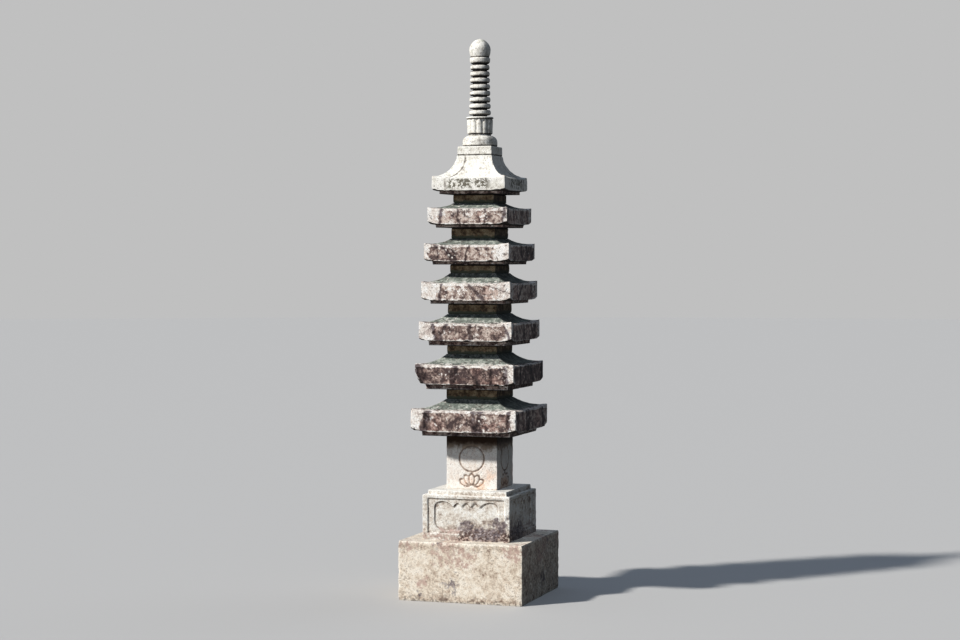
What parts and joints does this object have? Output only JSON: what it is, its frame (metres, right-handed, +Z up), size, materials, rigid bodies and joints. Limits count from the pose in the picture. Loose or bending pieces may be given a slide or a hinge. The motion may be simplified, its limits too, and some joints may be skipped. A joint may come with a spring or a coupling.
{
  "type": "stone pagoda",
  "caption": "Tall slender garden pagoda of stacked granite: panelled square plinth, tiers of thick upturned eaves, ringed finial with lotus and jewel.",
  "frame": {"origin": "centre of the underside of the lower plinth, on the ground", "axes": "+Z up, -Y is the front face of the plinth, +X to the right of someone facing the front"},
  "size_m": [1.047, 1.047, 4.545],
  "materials": {
    "plinth_granite": "cream granite with brown and mauve grime low down",
    "body_granite": "warm pale granite, finely dressed",
    "weathered_granite": "mauve-brown patina with white lichen and grey-green moss",
    "neck_granite": "dark olive-brown granite, sheltered and damp",
    "bare_granite": "sun-bleached light grey granite"
  },
  "bodies": {
    "root": {"lower_plinth": "plinth_granite", "upper_plinth": "plinth_granite", "first_body": "body_granite", "first_roof": "weathered_granite", "second_body": "neck_granite", "second_roof": "weathered_granite", "third_body": "neck_granite", "third_roof": "weathered_granite", "fourth_body": "neck_granite", "fourth_roof": "weathered_granite", "fifth_body": "neck_granite", "fifth_roof": "weathered_granite", "sixth_body": "neck_granite", "sixth_roof": "weathered_granite", "seventh_body": "neck_granite", "seventh_roof": "bare_granite", "finial_base": "bare_granite", "finial_bowl": "bare_granite", "finial_lotus": "bare_granite", "finial_rings": "bare_granite", "finial_cup": "bare_granite", "finial_jewel": "bare_granite"}
  },
  "joints": []
}
